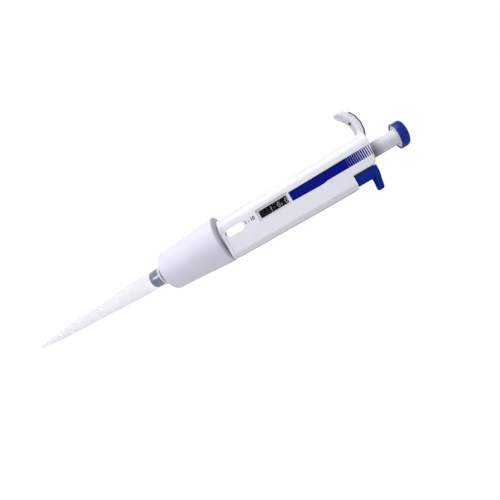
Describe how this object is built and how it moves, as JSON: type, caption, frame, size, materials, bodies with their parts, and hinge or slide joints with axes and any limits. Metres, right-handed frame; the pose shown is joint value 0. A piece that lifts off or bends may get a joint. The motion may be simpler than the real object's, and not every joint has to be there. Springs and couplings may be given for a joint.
{
  "type": "micropipette",
  "caption": "Adjustable air-displacement pipette with finger hook, push button, side ejector lever and sleeve, volume counter and a long disposable tip.",
  "frame": {"origin": "on the pipette's long axis, half way up the handle, where the hand holds it", "axes": "+Z along the long axis towards the push button, -Y the side with the counter window, -X the side of the finger hook, +X the side of the ejector lever"},
  "size_m": [0.0609, 0.0388, 0.3608],
  "materials": {
    "white_shell": "gloss",
    "white_matte": "matt",
    "blue_plastic": "satin",
    "lever_blue": "satin",
    "strip_grey": "matt",
    "clear_lens": "clear",
    "tip_plastic": "translucent",
    "steel": "polished",
    "spring_steel": "drawn wire",
    "inner_plastic": "matt",
    "wheel_black": "matt",
    "rubber": "matt",
    "filter": "porous"
  },
  "bodies": {
    "grip": {"base_cap": "white_shell", "handle_body": "white_shell", "top_housing": "white_shell", "hook_strip": "strip_grey", "front_panel": "blue_plastic", "grip_backing": "blue_plastic", "blank_plate": "white_shell", "counter_lens": "clear_lens", "top_bush": "white_shell", "counter_lower_plate": "inner_plastic", "counter_upper_plate": "inner_plastic", "counter_wheel_blank": "wheel_black", "pinion_shaft": "steel", "shaft_bearing": "inner_plastic", "ejector_guide": "inner_plastic", "neck_nut": "steel", "cylinder_head": "inner_plastic", "cylinder": "inner_plastic", "stop_ring": "steel", "nozzle": "steel", "nozzle_gasket": "rubber", "nozzle_filter": "filter", "housing_screw_left": "steel", "housing_screw_right": "steel", "plunger_spring": "spring_steel", "ejector_spring": "spring_steel"},
    "plunger": {"piston": "inner_plastic", "piston_seal": "rubber", "piston_rod": "steel", "stop_collar": "inner_plastic", "blow_out_spring": "spring_steel", "thrust_washer": "steel"},
    "dial": {"push_button": "blue_plastic", "button_collar": "white_shell", "plunger_tube": "white_shell"},
    "dial_drive": {"drive_shaft": "steel", "counter_wheel_tenths": "wheel_black"},
    "units_wheel": {"counter_wheel_units": "wheel_black"},
    "tens_wheel": {"counter_wheel_tens": "wheel_black"},
    "units_pinion": {"transfer_pinion_units": "inner_plastic"},
    "tens_pinion": {"transfer_pinion_tens": "inner_plastic"},
    "travelling_nut": {"volume_nut": "inner_plastic"},
    "ejector": {"ejector_button": "lever_blue", "ejector_rod": "steel", "ejector_rod_nut": "steel", "ejector_sleeve": "white_matte"},
    "tip": {"pipette_tip": "tip_plastic"}
  },
  "joints": [
    {"name": "plunger_press", "type": "slide", "parent": "grip", "child": "plunger", "axis": [0, 0, -1], "range_m": [0, 0.01575], "stiffness_N_per_m": 600, "springref_m": -0.01, "deforming": ["plunger_spring"]},
    {"name": "volume_dial", "type": "hinge", "parent": "plunger", "child": "dial", "pos_m": [0, 0, 0], "axis": [0, 0, -1], "range_deg": [0, 3240]},
    {"name": "dial_drive_turn", "type": "hinge", "parent": "grip", "child": "dial_drive", "pos_m": [0, 0, 0], "axis": [0, 0, -1], "range_deg": [0, 3240]},
    {"name": "units_wheel_turn", "type": "hinge", "parent": "grip", "child": "units_wheel", "pos_m": [0, 0, 0], "axis": [0, 0, -1], "range_deg": [0, 324]},
    {"name": "tens_wheel_turn", "type": "hinge", "parent": "grip", "child": "tens_wheel", "pos_m": [0, 0, 0], "axis": [0, 0, -1], "range_deg": [0, 32.4]},
    {"name": "units_pinion_turn", "type": "hinge", "parent": "grip", "child": "units_pinion", "pos_m": [0.0096, 0.008, 0], "axis": [0, 0, -1], "range_deg": [-810, 0]},
    {"name": "tens_pinion_turn", "type": "hinge", "parent": "grip", "child": "tens_pinion", "pos_m": [0.0096, 0.008, 0], "axis": [0, 0, -1], "range_deg": [-81, 0]},
    {"name": "volume_nut_travel", "type": "slide", "parent": "grip", "child": "travelling_nut", "axis": [0, 0, -1], "range_m": [0, 0.0135]},
    {"name": "ejector_press", "type": "slide", "parent": "grip", "child": "ejector", "axis": [0, 0, -1], "range_m": [0, 0.008], "stiffness_N_per_m": 500, "springref_m": -0.008, "deforming": ["ejector_spring"]},
    {"name": "tip_off", "type": "slide", "parent": "grip", "child": "tip", "axis": [0, 0, -1], "range_m": [0, 0.016]}
  ],
  "couplings": [
    {"joint": "dial_drive_turn", "follows": "volume_dial", "ratio": 1},
    {"joint": "units_wheel_turn", "follows": "volume_dial", "ratio": 0.1},
    {"joint": "tens_wheel_turn", "follows": "volume_dial", "ratio": 0.01},
    {"joint": "units_pinion_turn", "follows": "volume_dial", "ratio": -0.25},
    {"joint": "tens_pinion_turn", "follows": "volume_dial", "ratio": -0.025},
    {"joint": "volume_nut_travel", "follows": "volume_dial", "m_per_rad": 0.00023873},
    {"joint": "tip_off", "follows": "ejector_press", "ratio": 2}
  ]
}
